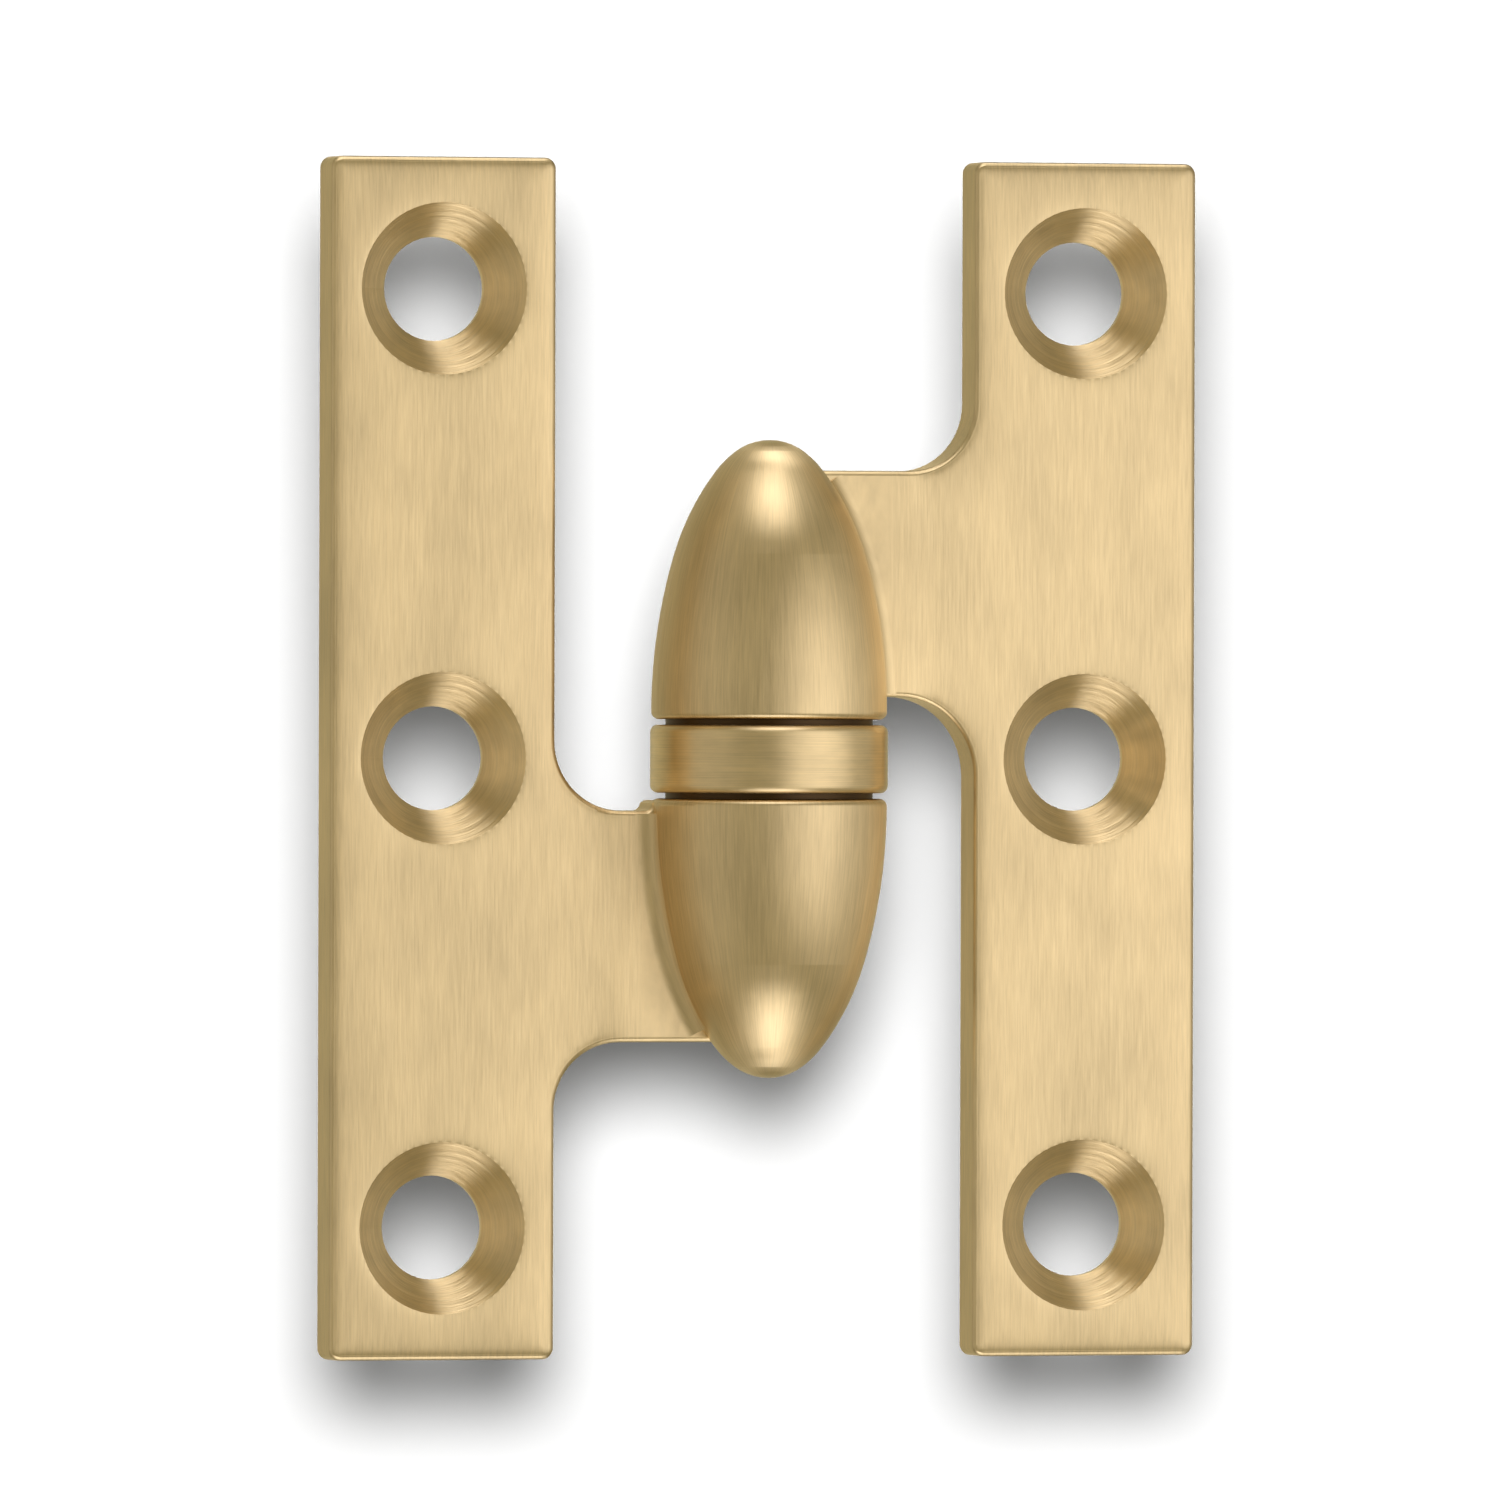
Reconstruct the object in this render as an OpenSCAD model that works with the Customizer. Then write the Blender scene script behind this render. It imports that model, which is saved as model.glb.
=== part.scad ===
/* [Leaves] */
// Height of both leaves, measured along the pin
leaf_h = 63.5; // [58:0.5:90]
// Width of the flat plate of a leaf
plate_w = 12.35; // [11:0.05:24]
// Distance from the pin's axis to the inner edge of a plate
plate_reach = 11.65; // [11.4:0.05:16]
// Thickness of a plate and of its neck
plate_t = 2.4; // [2.2:0.1:3]
// Distance from the pin's axis back to the front face of a plate
setback = 0.5; // [0.3:0.05:0.8]
// Corner radius of a plate, seen from the front
corner_r = 0.6; // [0.5:0.1:3]
// Rounding of the front edges of a leaf
edge_r = 0.3; // [0.15:0.05:0.4]

/* [Screw holes] */
// Number of screw holes in a leaf
hole_count = 3; // [2:1:3]
// Distance from the end of a leaf to the middle of its first screw hole
end_margin = 6.95; // [5.5:0.05:9]
// Diameter of a screw hole
hole_d = 5.5; // [5.2:0.1:6]
// Diameter of a countersink at the front face
sink_d = 9.1; // [8:0.1:9.3]
// Full angle of a countersink
sink_angle = 82; // [82:1:100]

/* [Knuckles] */
// Diameter of an olive knuckle at its mouth
knuckle_d = 12.5; // [12:0.1:14]
// Length of an olive knuckle from its mouth to its tip
olive_l = 14.8; // [14.4:0.1:18]
// Rounding of the edge round a knuckle's mouth
mouth_r = 0.4; // [0.2:0.05:0.5]
// Radius of the fillet between a neck's front face and its knuckle
fillet_r = 1.1; // [0.8:0.1:1.4]

/* [Necks] */
// Distance from the door knuckle's mouth to the door leaf's neck
door_neck_start = 1.2; // [1:0.1:1.6]
// Height of the door leaf's neck
door_neck_h = 12; // [9:0.1:12.2]
// Radius where the door leaf's neck leaves the plate, next to the ring
door_root_r = 4.2; // [2.5:0.1:4.4]
// Distance from the jamb knuckle's mouth to the jamb leaf's neck
jamb_neck_start = 0.65; // [0.6:0.05:1]
// Height of the jamb leaf's neck
jamb_neck_h = 12.25; // [9:0.05:12.6]
// Radius where the jamb leaf's neck leaves the plate, next to the ring
jamb_root_r = 3.7; // [2.4:0.1:3.8]
// Height of the small hook that carries the jamb leaf's neck up to its knuckle's mouth
jamb_hook_h = 0.55; // [0.5:0.05:0.6]
// Radius at the foot of that hook
jamb_hook_r = 0.45; // [0.2:0.05:0.45]
// Radius where both necks leave their plates, next to the tips
tip_root_r = 3.6; // [2.4:0.1:4.4]

/* [Bearing ring] */
// Outer diameter of the bearing ring
ring_d = 12.6; // [12:0.1:14]
// Height of the bearing ring between its outer faces
ring_h = 3.6; // [3:0.1:5]
// Rounding of the ring's outer edges
ring_edge_r = 0.4; // [0.2:0.05:0.6]
// Diameter of the raised lands that the knuckles bear on
land_d = 11; // [7:0.1:11.2]
// Height of a raised land above the ring's face, which is the gap seen beside it
land_h = 0.3; // [0.2:0.05:0.6]

/* [Pin] */
// Diameter of the pin
pin_d = 5; // [4:0.1:5.4]
// Length of the pin that is pressed into the jamb leaf's knuckle
pin_press_l = 9.5; // [7:0.1:10.2]
// Length of the pin that stands above the ring, inside the door leaf's knuckle
pin_free_l = 10; // [7:0.1:10.2]
// Chamfer at the pressed end of the pin
pin_chamfer = 0.4; // [0.2:0.1:0.8]
// Chamfer that leads the door leaf onto the pin
pin_lead = 0.9; // [0.4:0.1:1.2]

/* [Fits] */
// Radial clearance between the pin and what turns on it
running_gap = 0.05; // [0.02:0.01:0.1]
// Clearance between the top of the pin and the bottom of the door leaf's bore
end_gap = 0.5; // [0.3:0.1:1]
// Chamfer round the mouth of every pin bore
bore_chamfer = 0.3; // [0.1:0.05:0.5]

/* [Hidden] */
$fn = 144;

leaf_brass = [0.80, 0.70, 0.49];
ring_brass = [0.74, 0.63, 0.41];
pin_steel = [0.62, 0.63, 0.65];

// How far a cutting shape reaches past what it cuts
over = 1;
// How far a fillet's root is let into the pieces that it joins
fillet_root = 0.25;
// How far a fillet sits inside the knuckle's outline, which leaves a fine line along it
fillet_sink = 0.1;
// How far a fillet's ends stay inside the edges of the neck
fillet_inset = edge_r / 2;
// How many degrees before the olive a fillet changes from the flank's arc to its last one
fillet_lead_angle = 3;
// Full angle of the drill that makes the blind bores
drill_angle = 118;

knuckle_r = knuckle_d / 2;
ring_r = ring_d / 2;
pin_r = pin_d / 2;
running_r = pin_r + running_gap;
hole_r = hole_d / 2;
sink_r = sink_d / 2;
hole_pitch = (leaf_h - 2 * end_margin) / (hole_count - 1);
sink_slope = tan(sink_angle / 2);
sink_depth = (sink_r - hole_r) / sink_slope;
mouth_z = ring_h / 2 + land_h;
plate_outer = plate_reach + plate_w;
plate_middle = plate_reach + plate_w / 2;

// An olive's outline is four tangent arcs that follow half an ellipse, from its widest place at the
// rounding of the mouth up to the tip. The ways say how the outline faces where one arc ends and
// the next starts. They are slopes of 7 in 24, 3 in 4 and 4 in 3, which with radii in hundredths
// put the meeting points on round numbers.
OLIVE_WAYS = [[1, 0], [0.96, 0.28], [0.8, 0.6], [0.6, 0.8], [0, 1]];
// How far in and how far up each of the arcs would go with a radius of 1
OLIVE_STEPS = [for (i = [0:3]) let(step = OLIVE_WAYS[i + 1] - OLIVE_WAYS[i]) [-step.x, step.y]];

// The middle two radii are shares of the ellipse's mean radius, and the width and the length of
// the olive then set those of the flank and the tip.
shoulder_share = 1.43;
crown_share = 0.546;
shoulder_r = hundredths(shoulder_share * sqrt(knuckle_r * olive_l));
crown_r = hundredths(crown_share * sqrt(knuckle_r * olive_l));
olive_rest = [knuckle_r, olive_l - mouth_r] - shoulder_r * OLIVE_STEPS[1] - crown_r * OLIVE_STEPS[2];
flank_r = hundredths(cross(olive_rest, OLIVE_STEPS[3]) / cross(OLIVE_STEPS[0], OLIVE_STEPS[3]));
tip_r = hundredths(cross(OLIVE_STEPS[0], olive_rest) / cross(OLIVE_STEPS[0], OLIVE_STEPS[3]));
OLIVE_RADII = [flank_r, shoulder_r, crown_r, tip_r];
olive_reach = OLIVE_RADII * OLIVE_STEPS;

// Each arc is [centre, radius, lowest point, highest point].
OLIVE_ARCS = [for (i = [0:3])
    [meeting(i) - OLIVE_RADII[i] * OLIVE_WAYS[i], OLIVE_RADII[i], meeting(i), meeting(i + 1)]];

function hundredths(length) = round(100 * length) / 100;
function slope_of(way) = atan2(way.y, way.x);
function unit(way) = way / norm(way);
function arc_point(arc, angle) = arc[0] + arc[1] * [cos(angle), sin(angle)];
function arc_angle(arc, height, outside = 0) = asin((height - arc[0].y) / (arc[1] + outside));

// Where an arc of the olive starts, counted from the widest one, and for 4 the tip
function meeting(i) = i == len(OLIVE_RADII)
    ? [0, mouth_r + olive_reach.y]
    : meeting(i + 1) - OLIVE_RADII[i] * (OLIVE_WAYS[i + 1] - OLIVE_WAYS[i]);

// Arc that leaves a point square to an angle and runs on through a second point
function arc_through(point, angle, second) = let(
    way = [cos(angle), sin(angle)],
    radius = hundredths(pow(norm(second - point), 2) / (2 * (point - second) * way))
) [point - radius * way, radius];

// A corner is [x, y, radius], and every corner of a leaf is square.
function place(corner) = [corner.x, corner.y];
function before(corners, i) = corners[(i + len(corners) - 1) % len(corners)];
function after(corners, i) = corners[(i + 1) % len(corners)];
function way_in(corners, i) = unit(place(corners[i]) - place(before(corners, i)));
function way_out(corners, i) = unit(place(after(corners, i)) - place(corners[i]));
function arc_start(corners, i) = place(corners[i]) - corners[i].z * way_in(corners, i);
function arc_stop(corners, i) = place(corners[i]) + corners[i].z * way_out(corners, i);
function arc_centre(corners, i) = arc_start(corners, i) + corners[i].z * way_out(corners, i);
function turns_left(corners, i) = cross(way_in(corners, i), way_out(corners, i)) > 0;

// Corners of a leaf's outline, seen from the front with the neck's near edge below its far edge.
function leaf_corners(near_y, neck_h, near_root_r, hook_h, hook_r) = concat(
    hook_h > 0
        ? [[0, near_y - hook_h, 0], [knuckle_r, near_y - hook_h, 0], [knuckle_r, near_y, hook_r]]
        : [[0, near_y, 0]],
    [
        [plate_reach, near_y, near_root_r],
        [plate_reach, -leaf_h / 2, corner_r],
        [plate_outer, -leaf_h / 2, corner_r],
        [plate_outer, leaf_h / 2, corner_r],
        [plate_reach, leaf_h / 2, corner_r],
        [plate_reach, near_y + neck_h, tip_root_r],
        [0, near_y + neck_h, 0]
    ]
);

// Outline with true arcs at its outer and inner corners
module rounded_outline(corners) {
    last = len(corners) - 1;
    difference() {
        union() {
            polygon([for (i = [0:last]) each corners[i].z > 0
                ? [arc_start(corners, i), arc_stop(corners, i)]
                : [place(corners[i])]]);
            for (i = [0:last]) if (corners[i].z > 0 && turns_left(corners, i))
                translate(arc_centre(corners, i)) circle(corners[i].z);
        }
        for (i = [0:last]) if (corners[i].z > 0 && !turns_left(corners, i))
            translate(arc_centre(corners, i)) circle(corners[i].z);
    }
}

// Section of what the rounding takes off an edge, with the material right of and below the edge
module edge_section(reach = over) {
    difference() {
        translate([-reach, -edge_r]) square([edge_r + reach, edge_r + over]);
        translate([edge_r, -edge_r]) circle(edge_r);
    }
}

// Everything that the rounding takes off the front edges of an outline
module edge_rounding(corners) {
    for (i = [0:len(corners) - 1]) {
        way = way_out(corners, i);
        start = arc_stop(corners, i);
        run = norm(arc_start(corners, (i + 1) % len(corners)) - start);
        translate(start) rotate(slope_of(way)) rotate([90, 0, 90])
            linear_extrude(run) edge_section();
        if (corners[i].z > 0) translate(arc_centre(corners, i))
            if (turns_left(corners, i))
                rotate(slope_of(-way)) rotate_extrude(angle = 90)
                    translate([corners[i].z, 0]) mirror([1, 0]) edge_section();
            else
                rotate(slope_of(way_in(corners, i))) rotate_extrude(angle = 90)
                    translate([corners[i].z, 0]) edge_section(min(over, corners[i].z / 2));
    }
}

// Holes for countersunk screws, in the middle of the plate's width
module screw_holes() {
    for (i = [0:hole_count - 1])
        translate([plate_middle, (i - (hole_count - 1) / 2) * hole_pitch, 0]) {
            translate([0, 0, -plate_t - over]) cylinder(h = plate_t + 2 * over, r = hole_r);
            translate([0, 0, -sink_depth])
                cylinder(h = sink_depth + over, r1 = hole_r, r2 = sink_r + over * sink_slope);
        }
}

// Plate and neck in one, lying on their back with the front face at height 0
module plate_and_neck(corners) {
    difference() {
        translate([0, 0, -plate_t]) linear_extrude(plate_t) rounded_outline(corners);
        edge_rounding(corners);
        screw_holes();
    }
}

// Half the section of an olive, with its mouth on the x axis: one strip beside each arc
module olive_section() {
    rounding_x = olive_reach.x - mouth_r;
    square([rounding_x, mouth_r]);
    intersection() {
        translate([rounding_x, mouth_r]) circle(mouth_r);
        translate([rounding_x, 0]) square(mouth_r);
    }
    for (arc = OLIVE_ARCS) intersection() {
        translate(arc[0]) circle(arc[1]);
        translate([0, arc[2].y]) square([knuckle_r + over, arc[3].y - arc[2].y]);
    }
}

// Fillet between a neck's front face and the olive, lying as the plate does. It follows the
// flank's arc, and then one arc to where the olive's outline leaves the neck.
module knuckle_fillet(near_y, far_y) {
    flank = OLIVE_ARCS[0];
    shoulder = OLIVE_ARCS[1];
    change = slope_of(OLIVE_WAYS[1]) - fillet_lead_angle;
    meeting = arc_point(flank, change);
    bend = arc_through(meeting, change, arc_point(shoulder, arc_angle(shoulder, far_y)));
    translate(meeting) rotate(change) {
        mirror([0, 1]) fillet_turn(flank_r, change - arc_angle(flank, near_y));
        fillet_turn(bend[1], arc_angle(bend, far_y, fillet_r) - change);
    }
}

// One stretch of that fillet, from the x axis round, let into the neck below it and into the
// olive beside it
module fillet_turn(radius, angle) {
    translate([-radius, 0]) rotate_extrude(angle = angle) difference() {
        translate([radius - fillet_root, -fillet_root])
            square([fillet_r + fillet_root - fillet_sink, fillet_r + fillet_root]);
        translate([radius - fillet_sink + fillet_r, fillet_r]) circle(fillet_r);
    }
}

// Blind bore for the pin, from the mouth upwards, with a drill's point at its end
module blind_bore(radius, depth) {
    translate([0, 0, -over]) cylinder(h = depth + over, r = radius);
    translate([0, 0, depth]) cylinder(h = radius / tan(drill_angle / 2), r1 = radius, r2 = 0);
    translate([0, 0, -over])
        cylinder(h = over + bore_chamfer, r1 = radius + bore_chamfer + over, r2 = radius);
}

// A leaf with its knuckle up and its plate to the right, as the door leaf stands
module leaf(neck_start, neck_h, near_root_r, hook_h, hook_r, bore_r, bore_depth) {
    near_y = mouth_z + neck_start;
    difference() {
        union() {
            translate([0, setback, 0]) rotate([90, 0, 0]) {
                plate_and_neck(leaf_corners(near_y, neck_h, near_root_r, hook_h, hook_r));
                translate([0, mouth_z])
                    knuckle_fillet(neck_start + fillet_inset, neck_start + neck_h - fillet_inset);
            }
            translate([0, 0, mouth_z]) rotate(180) rotate_extrude() olive_section();
        }
        translate([0, 0, mouth_z]) blind_bore(bore_r, bore_depth);
    }
}

// Leaf for the frame: knuckle below the ring, with the pin pressed into it
module jamb_leaf() {
    color(leaf_brass) rotate([0, 180, 0])
        leaf(jamb_neck_start, jamb_neck_h, jamb_root_r, jamb_hook_h, jamb_hook_r, pin_r, pin_press_l);
}

// Leaf for the door: knuckle above the ring, turning on the pin and lifting off it
module door_leaf() {
    color(leaf_brass)
        leaf(door_neck_start, door_neck_h, door_root_r, 0, 0, running_r, pin_free_l + end_gap);
}

// Turned ring between the knuckles, with a raised land on each face
module bearing_ring() {
    color(ring_brass) difference() {
        rotate_extrude() {
            translate([0, -ring_h / 2]) square([ring_r - ring_edge_r, ring_h]);
            translate([0, ring_edge_r - ring_h / 2]) square([ring_r, ring_h - 2 * ring_edge_r]);
            for (side = [-1, 1])
                translate([ring_r - ring_edge_r, side * (ring_h / 2 - ring_edge_r)]) circle(ring_edge_r);
            translate([0, -mouth_z]) square([land_d / 2, 2 * mouth_z]);
        }
        cylinder(h = 2 * mouth_z + 2 * over, r = running_r, center = true);
        for (side = [0, 1]) mirror([0, 0, side]) translate([0, 0, mouth_z - bore_chamfer])
            cylinder(h = bore_chamfer + over, r1 = running_r, r2 = running_r + bore_chamfer + over);
    }
}

// Pin, pressed into the jamb leaf and free in the ring and the door leaf
module pin() {
    foot = -mouth_z - pin_press_l;
    top = mouth_z + pin_free_l;
    color(pin_steel) rotate_extrude() polygon([
        [0, foot],
        [pin_r - pin_chamfer, foot],
        [pin_r, foot + pin_chamfer],
        [pin_r, top - pin_lead],
        [pin_r - pin_lead / 2, top],
        [0, top]
    ]);
}

jamb_leaf();
pin();
bearing_ring();
door_leaf();
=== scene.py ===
import math

import bmesh
import bpy
import numpy as np
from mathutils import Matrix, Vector
from mathutils.geometry import delaunay_2d_cdt


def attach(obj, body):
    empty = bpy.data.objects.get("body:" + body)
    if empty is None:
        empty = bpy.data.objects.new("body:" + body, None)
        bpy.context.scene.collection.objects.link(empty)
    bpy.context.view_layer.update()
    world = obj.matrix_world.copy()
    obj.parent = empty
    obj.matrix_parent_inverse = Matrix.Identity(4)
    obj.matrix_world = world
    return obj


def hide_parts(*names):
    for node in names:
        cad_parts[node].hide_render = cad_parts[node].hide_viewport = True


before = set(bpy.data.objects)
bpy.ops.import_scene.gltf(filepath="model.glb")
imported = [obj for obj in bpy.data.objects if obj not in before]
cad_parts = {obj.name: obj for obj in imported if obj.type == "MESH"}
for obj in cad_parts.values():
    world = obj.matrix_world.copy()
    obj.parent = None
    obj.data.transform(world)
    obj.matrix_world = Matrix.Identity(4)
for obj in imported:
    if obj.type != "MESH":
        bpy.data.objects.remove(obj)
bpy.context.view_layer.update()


# ---- Viewpoint
# The photograph is taken from a little left of square and level with the hinge, through a long
# lens, so upright edges stay upright. The hinge nearly fills it, with the pin right of the middle.
PHOTO_SIDE = 1512
HINGE_IN_PHOTO = (769.0, 758.9)
VIEW_WIDTH = 0.0801
VIEW_DISTANCE = 1.16
VIEW_AZIMUTH = math.radians(-17.5)
VIEW_ELEVATION = math.radians(0.2)
VIEW_ROLL = math.radians(0.15)


def towards(azimuth, elevation):
    """The direction from the hinge to a place round it; azimuth 0 is straight in front."""
    return Vector((
        math.sin(azimuth) * math.cos(elevation),
        -math.cos(azimuth) * math.cos(elevation),
        math.sin(elevation),
    ))


lens = bpy.data.cameras.new("long_lens")
lens.sensor_width = 36.0
lens.lens = lens.sensor_width * VIEW_DISTANCE / VIEW_WIDTH
lens.clip_start = 0.05
lens.clip_end = 50.0
camera = bpy.data.objects.new("camera", lens)
bpy.context.scene.collection.objects.link(camera)
bpy.context.scene.camera = camera

view_back = towards(VIEW_AZIMUTH, VIEW_ELEVATION)
view_right = Vector((math.cos(VIEW_AZIMUTH), math.sin(VIEW_AZIMUTH), 0.0))
view_up = view_back.cross(view_right)
metres_per_pixel = VIEW_WIDTH / PHOTO_SIDE
look_at = view_right * (PHOTO_SIDE / 2 - HINGE_IN_PHOTO[0]) * metres_per_pixel
look_at += view_up * (HINGE_IN_PHOTO[1] - PHOTO_SIDE / 2) * metres_per_pixel
camera.location = look_at + view_back * VIEW_DISTANCE
camera.rotation_euler = view_back.to_track_quat("Z", "Y").to_euler()
camera.rotation_euler.rotate_axis("Z", VIEW_ROLL)


# ---- Studio
# The hinge stands in front of white paper, over a white floor, in a dim room. Soft panels shine on
# it from the right, the left, above, below and behind. The paper stands well back, and a small
# lamp over the lens lights it, so the hinge's soft shadow shows on it just below the hinge.
ROOM_TINT = (1.0, 0.95, 0.64)
ROOM_FRONT = 0.28
ROOM_BACK = 0.48
PANEL_TINT = (1.0, 1.015, 1.10)
WHITE = (1.0, 1.0, 1.0, 1.0)
BACKDROP_WHITE = 1.1
FLOOR_SIDE = 30.0
FLOOR_Z = -0.17
PAPER_BACK = 2.5
PAPER_SIDE = 0.32
PAPER_GLOW = 0.05
PAPER_LAMP_UP = 0.0042
PAPER_LAMP_SIZE = 0.0112
PAPER_LIGHT = 8.4e6


def add_node(tree, kind, inputs, **options):
    """Add a shader node with its options, and with its inputs set or linked."""
    node = tree.nodes.new(kind)
    for option, value in options.items():
        setattr(node, option, value)
    for socket, value in inputs.items():
        if isinstance(value, bpy.types.NodeSocket):
            tree.links.new(value, node.inputs[socket])
        else:
            node.inputs[socket].default_value = value
    return node


def maths(tree, operation, *values):
    """The result of a Math node on numbers or sockets."""
    node = add_node(tree, "ShaderNodeMath", dict(enumerate(values)), operation=operation)
    return node.outputs["Value"]


room = bpy.data.worlds.new("pale_room")
room.use_nodes = True
room_tree = room.node_tree
room_tree.nodes.clear()
way = add_node(room_tree, "ShaderNodeTexCoord", {}).outputs["Generated"]
backwards = add_node(room_tree, "ShaderNodeSeparateXYZ", {"Vector": way}).outputs["Y"]
wall_light = add_node(room_tree, "ShaderNodeMapRange", {
    "Value": backwards, "From Min": 0.6, "From Max": 0.98,
    "To Min": ROOM_FRONT, "To Max": ROOM_BACK}, interpolation_type="SMOOTHSTEP")
dim_walls = add_node(room_tree, "ShaderNodeBackground", {"Strength": wall_light.outputs["Result"]})
white_paper = add_node(room_tree, "ShaderNodeBackground", {"Strength": BACKDROP_WHITE})
dim_walls.inputs["Color"].default_value = ROOM_TINT + (1.0,)
white_paper.inputs["Color"].default_value = WHITE
light_path = add_node(room_tree, "ShaderNodeLightPath", {})
walls = add_node(room_tree, "ShaderNodeMixShader", {
    0: light_path.outputs["Is Camera Ray"],
    1: dim_walls.outputs["Background"],
    2: white_paper.outputs["Background"],
})
add_node(room_tree, "ShaderNodeOutputWorld", {"Surface": walls.outputs["Shader"]})
bpy.context.scene.world = room


def white_sheet(name, side, place, turn, grey, glow):
    """A square of matt white that glows a little, and that only the camera sees."""
    bpy.ops.mesh.primitive_plane_add(size=side, location=place, rotation=turn)
    sheet = bpy.context.object
    sheet.name = name
    sheet.visible_glossy = False
    sheet.visible_shadow = False
    matt = bpy.data.materials.new(name + "_white")
    matt.use_nodes = True
    matt_shader = matt.node_tree.nodes["Principled BSDF"]
    matt_shader.inputs["Base Color"].default_value = (grey, grey, grey, 1.0)
    matt_shader.inputs["Roughness"].default_value = 1.0
    matt_shader.inputs["Specular IOR Level"].default_value = 0.0
    matt_shader.inputs["Emission Color"].default_value = WHITE
    matt_shader.inputs["Emission Strength"].default_value = glow
    sheet.data.materials.append(matt)


white_sheet("floor", FLOOR_SIDE, (0.0, 0.0, FLOOR_Z), (0.0, 0.0, 0.0), 0.5, 1.0)
white_sheet("paper", PAPER_SIDE, look_at - view_back * PAPER_BACK, camera.rotation_euler,
            0.1, PAPER_GLOW)


def soft_panel(name, place, width, height, brightness, rim=0.0):
    """Hang a panel that faces the hinge and fades from its middle to its edges."""
    data = bpy.data.lights.new(name, "AREA")
    data.shape = "RECTANGLE"
    data.size = width
    data.size_y = height
    data.energy = brightness * math.pi * width * height
    data.use_nodes = True
    tree = data.node_tree
    spot = add_node(tree, "ShaderNodeNewGeometry", {}).outputs["Parametric"]
    spot = add_node(tree, "ShaderNodeSeparateXYZ", {"Vector": spot})
    across, down = spot.outputs["X"], spot.outputs["Y"]
    fade = maths(tree, "MULTIPLY",
                 maths(tree, "MULTIPLY", across, maths(tree, "SUBTRACT", 1.0, across)),
                 maths(tree, "MULTIPLY", down, maths(tree, "SUBTRACT", 1.0, down)))
    fade = maths(tree, "POWER", maths(tree, "MULTIPLY", fade, 16.0), 1.3)
    strength = maths(tree, "MULTIPLY_ADD", fade, 1.0 - rim, rim)
    tree.links.new(strength, tree.nodes["Emission"].inputs["Strength"])
    data.color = PANEL_TINT
    lamp = bpy.data.objects.new(name, data)
    lamp.location = place
    lamp.rotation_euler = place.to_track_quat("Z", "Y").to_euler()
    lamp.visible_camera = False
    bpy.context.scene.collection.objects.link(lamp)
    return lamp


def at(azimuth, elevation, distance):
    """A place round the hinge, in degrees and metres."""
    return towards(math.radians(azimuth), math.radians(elevation)) * distance


soft_panel("right_panel", at(32.0, 0.0, 0.22), 0.40, 0.30, 1.04)
soft_panel("left_panel", at(-86.0, 0.0, 0.80), 1.90, 1.90, 0.22)
soft_panel("far_right_panel", at(84.0, 0.0, 0.80), 1.00, 1.40, 0.20)
soft_panel("overhead_panel", at(-7.0, 62.0, 0.60), 0.56, 0.48, 2.3)
soft_panel("under_panel", at(-4.0, -64.0, 0.60), 0.56, 0.54, 2.2)
soft_panel("back_top_panel", at(125.0, 79.0, 1.20), 1.00, 1.00, 2.3)
soft_panel("back_under_panel", at(120.0, -80.0, 1.20), 0.90, 0.80, 1.5)
paper_lamp = soft_panel("paper_lamp", camera.location + view_up * PAPER_LAMP_UP,
                        PAPER_LAMP_SIZE, PAPER_LAMP_SIZE, PAPER_LIGHT)
paper_lamp.data.color = WHITE[:3]
paper_lamp.visible_glossy = False

bpy.context.scene.view_settings.view_transform = "Standard"


# ---- Jamb leaf
# The left leaf is one piece of solid brass: plate, neck and lower olive knuckle. It is machined,
# polished until its faces roll softly over to the edges, brushed along the pin and lacquered.
PLATE_FRONT = 0.5
HOLE_X = 17.825
HOLE_PITCH = 24.8
HOLE_R = 2.75
SINK_R = 4.55
SKIN_STEP = 0.5
SKIN_RINGS = (0.06, 0.14, 0.28, 0.5, 0.8, 1.2, 1.7)
EDGE_R = 0.3
EDGE_ROLL = ((0.03, 0.22), (0.05, 0.7), (0.09, 2.8))
CORNER_ROLL = (0.04, 1.8)
CORNERS = (11.65, 24.0, 31.75)
SINK_ROLL = ((0.012, 0.1), (0.045, 0.45))
KNUCKLE_FREE = (7.6, 9.6)
NUDGE = 0.01
MM = 1000.0


def hole_distance(places):
    """How far each place on a plate is from the middle of the nearest screw hole."""
    from_row = np.abs(places[:, 0]) - HOLE_X
    from_hole = (places[:, 1] / HOLE_PITCH + 0.5) % 1.0 - 0.5
    return np.hypot(from_row, from_hole * HOLE_PITCH)


def edge_distance(places, edges):
    """How far each place is from the nearest of these straight edges."""
    starts, ends = edges[:, 0], edges[:, 1]
    along = ends - starts
    length_squared = (along ** 2).sum(axis=1)
    nearest = np.full(len(places), 1e9)
    for start, step, squared in zip(starts, along, length_squared):
        share = np.clip(((places - start) @ step) / squared, 0.0, 1.0)
        gap = np.hypot(*(places - start - share[:, None] * step).T)
        nearest = np.minimum(nearest, gap)
    return nearest


def inside(places, edges):
    """Whether each place lies on the plate, by how many edges a line from it crosses."""
    crossings = np.zeros(len(places), dtype=int)
    for (x0, z0), (x1, z1) in edges:
        level = (z0 > places[:, 1]) != (z1 > places[:, 1])
        if z0 != z1:
            crossing = x0 + (places[:, 1] - z0) * (x1 - x0) / (z1 - z0)
            crossings += level & (places[:, 0] < crossing)
    return crossings % 2 == 1


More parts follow.
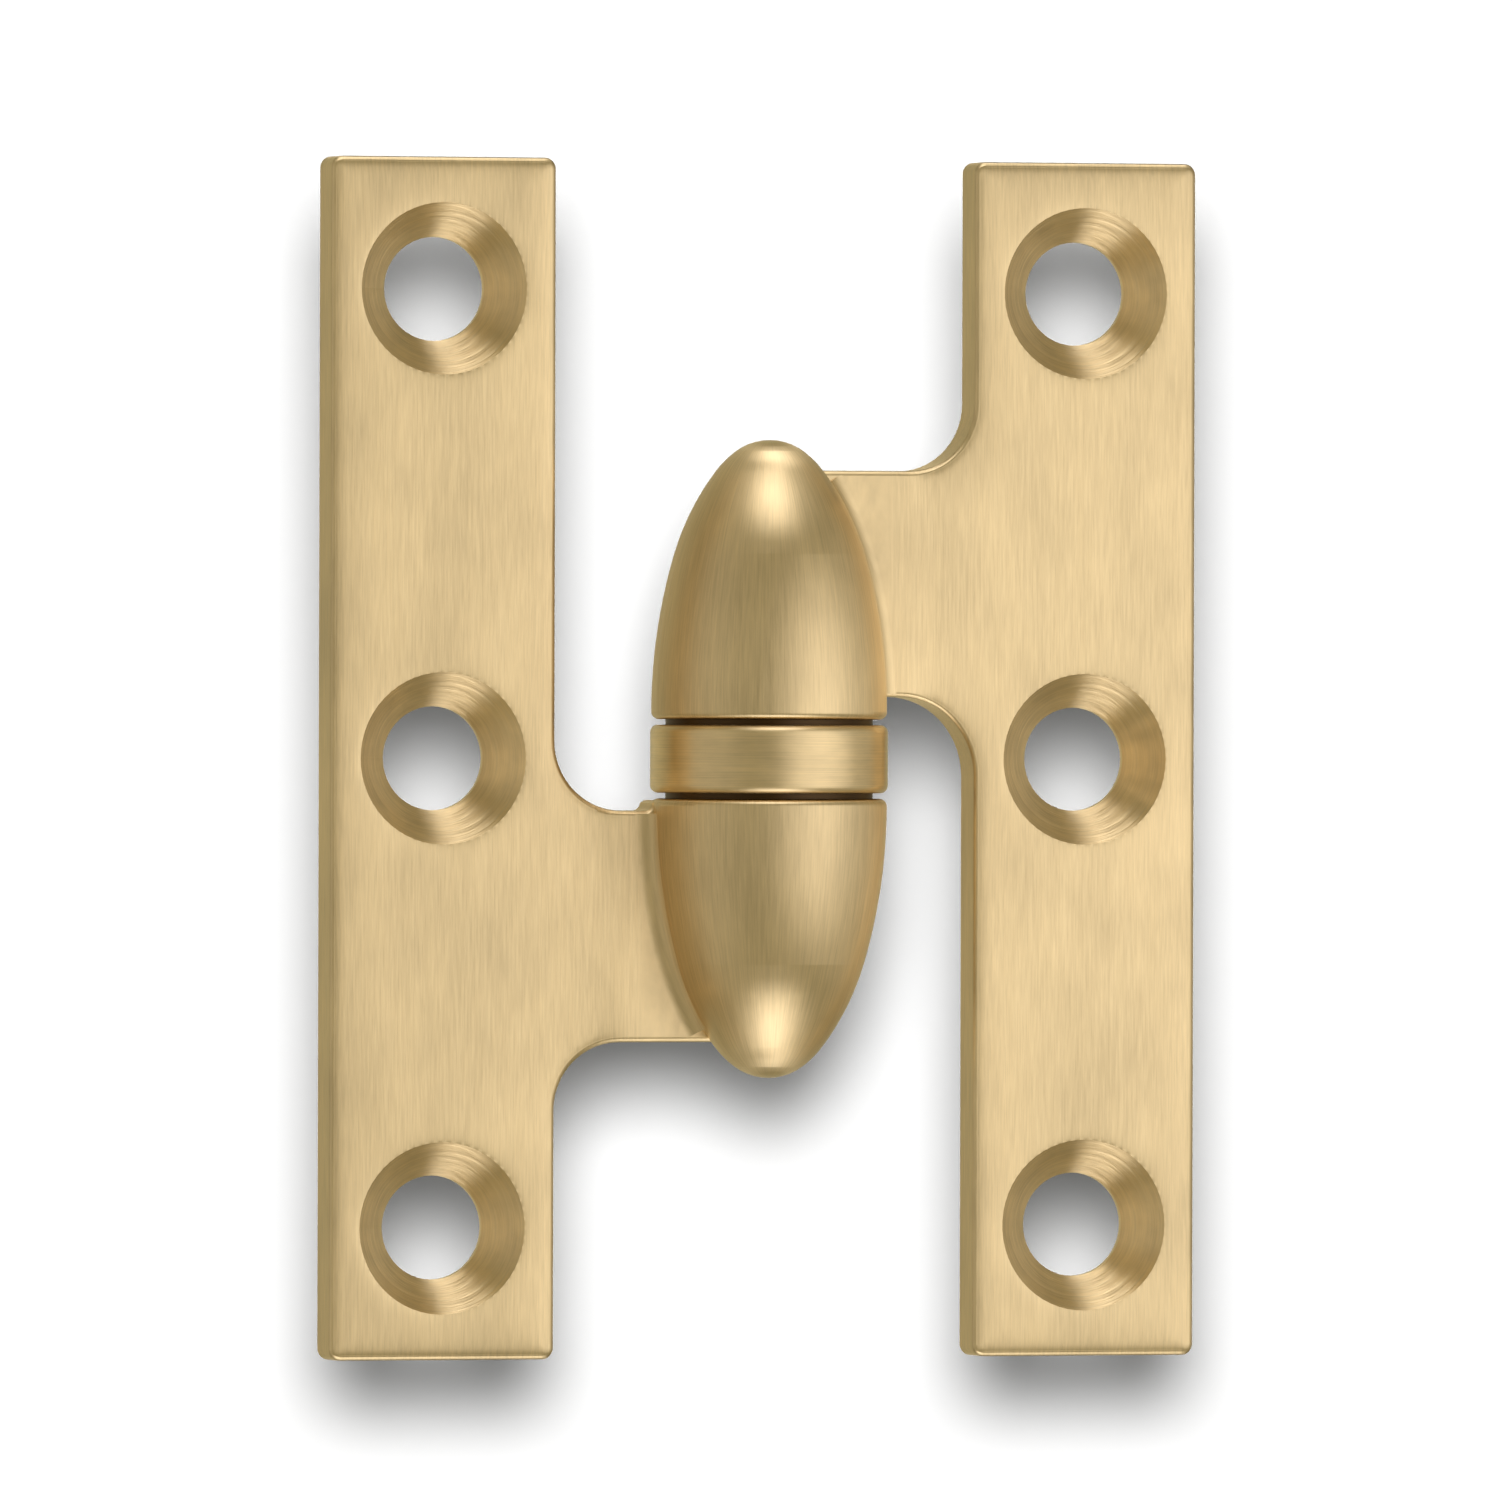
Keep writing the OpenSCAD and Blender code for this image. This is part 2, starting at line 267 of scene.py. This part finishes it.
def roll_depth(places, outer_edges=None):
    """How far polishing has taken the face down: more towards edges, corners and hole rims."""
    from_edge = np.zeros(len(places))
    if outer_edges is not None:
        spread = np.ptp(outer_edges, axis=1)
        level = spread[:, 0] > spread[:, 1]
        to_level = edge_distance(places, outer_edges[level]) + 1e-4
        to_upright = edge_distance(places, outer_edges[~level]) + 1e-4
        from_edge = (to_level ** -4.0 + to_upright ** -4.0) ** -0.25
    depth = sum(drop * np.exp(-from_edge / reach) for drop, reach in EDGE_ROLL)
    inner_x, outer_x, end_z = CORNERS
    out = np.abs(places)
    for corner_x in (inner_x, outer_x):
        from_corner = np.hypot(out[:, 0] - corner_x, out[:, 1] - end_z)
        depth += CORNER_ROLL[0] * np.exp(-from_corner / CORNER_ROLL[1])
    low, high = KNUCKLE_FREE
    share = np.clip((out[:, 0] - low) / (high - low), 0.0, 1.0)
    depth *= share * share * (3.0 - 2.0 * share)
    from_rim = np.maximum(hole_distance(places) - SINK_R, 0.0)
    for drop, reach in SINK_ROLL:
        depth += drop * np.exp(-from_rim / reach)
    return depth


def polished_leaf(node, name):
    """Copy a leaf and give its front a fine skin that rolls off at the edges."""
    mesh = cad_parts[node].data.copy()
    corner_normals = [corner.vector.copy() for corner in mesh.corner_normals]
    leaf = bmesh.new()
    leaf.from_mesh(mesh)
    kept_normal = leaf.loops.layers.float_vector.new("kept_normal")
    corners = (loop for face in leaf.faces for loop in face.loops)
    for loop, normal in zip(corners, corner_normals):
        loop[kept_normal] = normal
    bmesh.ops.remove_doubles(leaf, verts=leaf.verts, dist=1e-7)

    front = [face for face in leaf.faces if face.normal.y < -0.9999
             and abs(face.calc_center_median().y * MM - PLATE_FRONT) < 1e-3]
    bmesh.ops.delete(leaf, geom=front, context="FACES_ONLY")
    bmesh.ops.delete(leaf, geom=[e for e in leaf.edges if not e.link_faces], context="EDGES")
    for edge in [e for e in leaf.edges if e.is_boundary and e.calc_length() * MM > SKIN_STEP]:
        cuts = int(edge.calc_length() * MM / SKIN_STEP)
        bmesh.ops.subdivide_edges(leaf, edges=[edge], cuts=cuts)

    rim = [edge for edge in leaf.edges if edge.is_boundary]
    rim_verts = list({vert: None for edge in rim for vert in edge.verts})
    place_of = {vert: i for i, vert in enumerate(rim_verts)}
    rim_places = np.array([(vert.co.x, vert.co.z) for vert in rim_verts]) * MM
    rim_pairs = [[place_of[vert] for vert in edge.verts] for edge in rim]
    rim_edges = rim_places[np.array(rim_pairs)]

    candidates = []
    middles = rim_edges.mean(axis=1)
    steps = rim_edges[:, 1] - rim_edges[:, 0]
    across = np.column_stack((-steps[:, 1], steps[:, 0]))
    across /= np.hypot(*across.T)[:, None]
    for offset in SKIN_RINGS:
        for side in (offset, -offset):
            ring = middles + side * across
            ring = ring[inside(ring, rim_edges)]
            candidates.append(ring[edge_distance(ring, rim_edges) > 0.97 * offset])
    low, high = rim_places.min(axis=0), rim_places.max(axis=0)
    grid = np.stack(np.meshgrid(
        np.arange(low[0], high[0], SKIN_STEP), np.arange(low[1], high[1], SKIN_STEP)), axis=-1)
    grid = grid.reshape(-1, 2)
    grid = grid[inside(grid, rim_edges)]
    candidates.append(grid[edge_distance(grid, rim_edges) > SKIN_RINGS[-1] + SKIN_STEP / 2])
    places = np.concatenate([rim_places] + candidates)

    flat_verts, _, flat_faces, sources, _, _ = delaunay_2d_cdt(
        [Vector(place) for place in places], rim_pairs, [], 0, 1e-5)
    flat = np.array([tuple(vert) for vert in flat_verts])
    centres = np.array([flat[list(face)].mean(axis=0) for face in flat_faces])
    on_plate = inside(centres, rim_edges)

    beside_sink = hole_distance(middles) < SINK_R + 0.05
    beside_knuckle = np.abs(middles[:, 0]) < KNUCKLE_FREE[0]
    outer_edges = rim_edges[~beside_sink & ~beside_knuckle]
    depth = roll_depth(flat, outer_edges)
    slopes = []
    for step in ((NUDGE, 0.0), (0.0, NUDGE)):
        ahead = (roll_depth(flat + step, outer_edges) - depth) / NUDGE
        behind = (depth - roll_depth(flat - step, outer_edges)) / NUDGE
        slopes.append(np.where(inside(flat + step, rim_edges), ahead, behind))
    slope_x, slope_z = slopes
    skin_normals = [Vector(n).normalized() for n in zip(slope_x, -np.ones(len(flat)), slope_z)]

    for vert in set(leaf.verts) - set(rim_verts):
        down = vert.co.y * MM - PLATE_FRONT
        if 0.0 < down < EDGE_R and abs(vert.co.x) * MM > KNUCKLE_FREE[0]:
            drop = roll_depth(np.array([(vert.co.x, vert.co.z)]) * MM)[0]
            vert.co.y += drop * (1.0 - down / EDGE_R) / MM

    skin_verts = []
    for place, drop, source in zip(flat, depth, sources):
        rim_vert = next((rim_verts[i] for i in source if i < len(rim_verts)), None)
        if rim_vert is None:
            rim_vert = leaf.verts.new((place[0] / MM, 0.0, place[1] / MM))
        rim_vert.co.y = (PLATE_FRONT + drop) / MM
        skin_verts.append(rim_vert)
    for loop_vert, normal in zip(skin_verts, skin_normals):
        for loop in loop_vert.link_loops:
            if loop[kept_normal].y < -0.97:
                loop[kept_normal] = normal
    for face, keep in zip(flat_faces, on_plate):
        if not keep:
            continue
        a, b, c = (flat[i] for i in face)
        turn = (b[0] - a[0]) * (c[1] - a[1]) - (b[1] - a[1]) * (c[0] - a[0])
        order = face if turn > 0 else face[::-1]
        skin = leaf.faces.new([skin_verts[i] for i in order])
        for loop, i in zip(skin.loops, order):
            loop[kept_normal] = skin_normals[i]

    turned = []
    for face in leaf.faces:
        centre = face.calc_center_median() * MM
        at_hole = hole_distance(np.array([(centre.x, centre.z)]))[0] < SINK_R
        turned.append(at_hole and abs(face.normal.y) < 0.95)
    leaf.to_mesh(mesh)
    leaf.free()
    mesh.name = name
    mesh.materials.clear()
    for polygon, is_turned in zip(mesh.polygons, turned):
        polygon.material_index = int(is_turned)
        polygon.use_smooth = True
    normals = [Vector(item.vector).normalized() for item in mesh.attributes["kept_normal"].data]
    mesh.attributes.remove(mesh.attributes["kept_normal"])
    mesh.normals_split_custom_set(normals)
    piece = bpy.data.objects.new(name, mesh)
    bpy.context.scene.collection.objects.link(piece)
    return piece


def shader_of(name):
    """A new material, its tree and its shader."""
    material = bpy.data.materials.new(name)
    material.use_nodes = True
    return material, material.node_tree, material.node_tree.nodes["Principled BSDF"]


def vectors(tree, operation, *values):
    """The result of a Vector Math node on vectors or sockets."""
    node = add_node(tree, "ShaderNodeVectorMath", dict(enumerate(values)), operation=operation)
    return node.outputs["Vector"]


def noise(tree, vector, detail, roughness=0.5):
    """Noise at a scale of one, so the vector alone sets the size of the marks."""
    node = add_node(tree, "ShaderNodeTexNoise", {
        "Vector": vector, "Scale": 1.0, "Detail": detail, "Roughness": roughness})
    return node.outputs["Fac"]


def finish_brass(tree, shader, grain, marks, roughness, anisotropy, in_gap=None):
    """Colour, gloss and grain that every brass finish here shares, and painted shade darkening a
    gap.
    """
    scratch, streak, cloud = marks
    colour_at = maths(tree, "MULTIPLY", scratch, 0.44)
    colour_at = maths(tree, "MULTIPLY_ADD", streak, 0.14, colour_at)
    colour_at = maths(tree, "MULTIPLY_ADD", cloud, 0.42, colour_at)
    ramp = add_node(tree, "ShaderNodeValToRGB", {"Fac": colour_at})
    low, high = ramp.color_ramp.elements
    low.position, high.position = 0.34, 0.66
    low.color = tuple(0.82 * c for c in BRASS_TONE) + (1.0,)
    high.color = tuple(1.14 * c for c in BRASS_TONE) + (1.0,)
    colour = ramp.outputs["Color"]
    rough = maths(tree, "MULTIPLY_ADD", streak, 0.10, roughness - 0.05)
    # Painted shade: inside the slit beside the ring, the brass colour is mixed towards a dark
    # brown that stands in for the shade there.
    if in_gap is not None:
        gap_shade = add_node(tree, "ShaderNodeMix", {
            0: in_gap, 6: colour, 7: GAP_SHADE_TONE + (1.0,)}, data_type="RGBA")
        colour = gap_shade.outputs[2]
        rough = maths(tree, "MULTIPLY_ADD", in_gap, 0.2, rough)
    tree.links.new(colour, shader.inputs["Base Color"])
    tree.links.new(rough, shader.inputs["Roughness"])
    shader.inputs["Metallic"].default_value = 1.0
    shader.inputs["Anisotropic"].default_value = anisotropy
    shader.inputs["Coat Weight"].default_value = 0.20
    shader.inputs["Coat Roughness"].default_value = 0.22
    bump = add_node(tree, "ShaderNodeBump", {"Height": grain, "Distance": 1.0, "Strength": 1.0})
    tree.links.new(bump.outputs["Normal"], shader.inputs["Normal"])


BRASS_TONE = (0.86, 0.652, 0.36)
# Painted shade in the slits beside the ring: its dark brown, how far out from the pin it reaches,
# and where it fades near the knuckle's end face.
GAP_SHADE_TONE = (0.16, 0.09, 0.03)
GAP_REACH = (0.0058, 0.0060)
GAP_EDGE = (0.0020, 0.0023)
KNUCKLE_R = 0.00625


def ramp_down(tree, value, full, none):
    """One up to the first value and nought from the second on, with a soft change between."""
    return add_node(tree, "ShaderNodeMapRange", {
        "Value": value, "From Min": full, "From Max": none, "To Min": 1.0, "To Max": 0.0},
        interpolation_type="SMOOTHSTEP").outputs["Result"]


brushed_brass, tree, shader = shader_of("brushed_brass")
place = add_node(tree, "ShaderNodeTexCoord", {}).outputs["Object"]
axis = add_node(tree, "ShaderNodeSeparateXYZ", {"Vector": place})
level = add_node(tree, "ShaderNodeCombineXYZ", {"X": axis.outputs["X"], "Y": axis.outputs["Y"]})
out_from_pin = add_node(tree, "ShaderNodeVectorMath", {0: level.outputs["Vector"]},
                        operation="LENGTH").outputs["Value"]
round_pin = add_node(tree, "ShaderNodeVectorMath", {
    0: vectors(tree, "NORMALIZE", level.outputs["Vector"]), "Scale": KNUCKLE_R},
    operation="SCALE").outputs["Vector"]
upright = add_node(tree, "ShaderNodeCombineXYZ", {"Z": axis.outputs["Z"]}).outputs["Vector"]
round_pin = vectors(tree, "ADD", round_pin, upright)
on_knuckle = ramp_down(tree, out_from_pin, 0.0064, 0.0074)
from_middle = maths(tree, "ABSOLUTE", axis.outputs["Z"])
# Where the knuckle's end face meets the slit by the ring; painted shade darkens the brass there.
in_gap = maths(tree, "MULTIPLY", ramp_down(tree, out_from_pin, *GAP_REACH),
               ramp_down(tree, from_middle, *GAP_EDGE))


def along_pin(fine, coarse):
    """Grain along the pin: straight on the plate, and down the olive's sides on the knuckle."""
    stretch = (fine, fine, coarse)
    on_plate = noise(tree, vectors(tree, "MULTIPLY", place, stretch), 3.0, 0.6)
    on_olive = noise(tree, vectors(tree, "MULTIPLY", round_pin, stretch), 3.0, 0.6)
    mix = add_node(tree, "ShaderNodeMix", {0: on_knuckle, 2: on_plate, 3: on_olive})
    return mix.outputs["Result"]


fine_grain = along_pin(9000.0, 430.0)
streaks = along_pin(2600.0, 250.0)
clouds = noise(tree, vectors(tree, "MULTIPLY", place, (260.0, 260.0, 140.0)), 3.0)
swell = noise(tree, vectors(tree, "MULTIPLY", place, (170.0, 170.0, 70.0)), 1.0)
grain = maths(tree, "MULTIPLY", fine_grain, 4.0e-6)
grain = maths(tree, "MULTIPLY_ADD", streaks, 7.0e-6, grain)
grain = maths(tree, "MULTIPLY_ADD", swell, 6.0e-5, grain)
finish_brass(tree, shader, grain, (fine_grain, streaks, clouds), 0.35, 0.8, in_gap)
across_grain = add_node(tree, "ShaderNodeCombineXYZ", {"X": 0.02, "Y": 0.05, "Z": 1.0})
tree.links.new(across_grain.outputs["Vector"], shader.inputs["Tangent"])
shader.inputs["Anisotropic Rotation"].default_value = 0.25

turned_brass, tree, shader = shader_of("turned_brass")
place = add_node(tree, "ShaderNodeTexCoord", {}).outputs["Object"]
axis = add_node(tree, "ShaderNodeSeparateXYZ", {"Vector": place})
half_pitch = HOLE_PITCH / 2 / MM
from_row = maths(tree, "SUBTRACT", maths(tree, "ABSOLUTE", axis.outputs["X"]), HOLE_X / MM)
signed_row = maths(tree, "MULTIPLY", from_row, maths(tree, "SIGN", axis.outputs["X"]))
from_hole = maths(tree, "WRAP", axis.outputs["Z"], half_pitch, -half_pitch)
spoke = add_node(tree, "ShaderNodeCombineXYZ", {"X": signed_row, "Z": from_hole}).outputs["Vector"]
spoke_length = add_node(tree, "ShaderNodeVectorMath", {0: spoke},
                        operation="LENGTH").outputs["Value"]
spoke_way = vectors(tree, "NORMALIZE", spoke)


def round_hole(fine, around):
    """Turning marks: fine rings round the hole that fade in and out along their length."""
    way = vectors(tree, "MULTIPLY", spoke_way, (around, around, around))
    out = add_node(tree, "ShaderNodeCombineXYZ", {
        "Y": maths(tree, "MULTIPLY", spoke_length, fine)}).outputs["Vector"]
    return noise(tree, vectors(tree, "ADD", way, out), 3.0, 0.6)


fine_rings = round_hole(11000.0, 1.2)
rings = round_hole(3600.0, 0.8)
clouds = noise(tree, vectors(tree, "MULTIPLY", place, (600.0, 600.0, 600.0)), 2.0)
grain = maths(tree, "MULTIPLY", fine_rings, 5.0e-6)
grain = maths(tree, "MULTIPLY_ADD", rings, 5.5e-5, grain)
finish_brass(tree, shader, grain, (fine_rings, rings, clouds), 0.31, 0.9)
tree.links.new(spoke, shader.inputs["Tangent"])

jamb_leaf = polished_leaf("jamb_leaf", "polished_jamb_leaf")
jamb_leaf.data.materials.append(brushed_brass)
jamb_leaf.data.materials.append(turned_brass)
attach(jamb_leaf, "jamb")
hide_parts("jamb_leaf")


# ---- Pin
# A straight steel pin with chamfered ends, ground round. It is pressed into the jamb leaf's
# knuckle, and the ring and the door leaf turn on it.
PIN_TONE = (0.56, 0.56, 0.57)

ground_steel, tree, shader = shader_of("ground_steel")
place = add_node(tree, "ShaderNodeTexCoord", {}).outputs["Object"]
grinding = noise(tree, vectors(tree, "MULTIPLY", place, (700.0, 700.0, 22000.0)), 3.0, 0.6)
haze = noise(tree, vectors(tree, "MULTIPLY", place, (500.0, 500.0, 500.0)), 3.0)
ramp = add_node(tree, "ShaderNodeValToRGB", {"Fac": haze})
ramp.color_ramp.elements[0].color = tuple(0.9 * c for c in PIN_TONE) + (1.0,)
ramp.color_ramp.elements[1].color = tuple(1.1 * c for c in PIN_TONE) + (1.0,)
tree.links.new(ramp.outputs["Color"], shader.inputs["Base Color"])
shader.inputs["Metallic"].default_value = 1.0
rough = maths(tree, "MULTIPLY_ADD", grinding, 0.12, 0.18)
tree.links.new(rough, shader.inputs["Roughness"])
shader.inputs["Anisotropic"].default_value = 0.5
along = add_node(tree, "ShaderNodeCombineXYZ", {"X": 0.02, "Y": 0.05, "Z": 1.0})
tree.links.new(along.outputs["Vector"], shader.inputs["Tangent"])
bump = add_node(tree, "ShaderNodeBump", {
    "Height": maths(tree, "MULTIPLY", grinding, 8.0e-7), "Distance": 1.0, "Strength": 1.0})
tree.links.new(bump.outputs["Normal"], shader.inputs["Normal"])
pin_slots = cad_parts["pin"].data.materials
pin_slots.clear()
pin_slots.append(ground_steel)


# ---- Bearing ring
# A plain brass ring between the knuckles, turned from bar with rounded edges and left with the
# lathe's marks running round it. The pin passes through it and it carries the door leaf.
RING_FACE = 0.00178

ring_brass, tree, shader = shader_of("ring_brass")
place = add_node(tree, "ShaderNodeTexCoord", {}).outputs["Object"]
fine_rings = noise(tree, vectors(tree, "MULTIPLY", place, (180.0, 180.0, 14000.0)), 3.0, 0.6)
rings = noise(tree, vectors(tree, "MULTIPLY", place, (220.0, 220.0, 4200.0)), 3.0, 0.6)
clouds = noise(tree, vectors(tree, "MULTIPLY", place, (420.0, 420.0, 900.0)), 3.0)
grain = maths(tree, "MULTIPLY", fine_rings, 8.0e-7)
grain = maths(tree, "MULTIPLY_ADD", rings, 2.0e-6, grain)
grain = maths(tree, "MULTIPLY_ADD", clouds, 8.0e-6, grain)
level = add_node(tree, "ShaderNodeVectorMath", {
    0: vectors(tree, "MULTIPLY", place, (1.0, 1.0, 0.0))}, operation="LENGTH").outputs["Value"]
upright = add_node(tree, "ShaderNodeSeparateXYZ", {"Vector": place}).outputs["Z"]
on_face = maths(tree, "GREATER_THAN", maths(tree, "ABSOLUTE", upright), RING_FACE)
# The ring's end faces inside the slits, near the pin; painted shade darkens the brass there.
in_gap = maths(tree, "MULTIPLY", ramp_down(tree, level, *GAP_REACH), on_face)
finish_brass(tree, shader, grain, (fine_rings, rings, clouds), 0.38, 0.6, in_gap)
along = add_node(tree, "ShaderNodeCombineXYZ", {"X": 0.02, "Y": 0.05, "Z": 1.0})
tree.links.new(along.outputs["Vector"], shader.inputs["Tangent"])
ring_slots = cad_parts["bearing_ring"].data.materials
ring_slots.clear()
ring_slots.append(ring_brass)


# ---- Door leaf
# The right leaf is made and finished as the left one is, with the upper olive knuckle on it. It
# is dropped over the pin and lifts off again.
door_leaf = polished_leaf("door_leaf", "polished_door_leaf")
door_leaf.data.materials.append(brushed_brass)
door_leaf.data.materials.append(turned_brass)
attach(door_leaf, "door")
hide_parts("door_leaf")
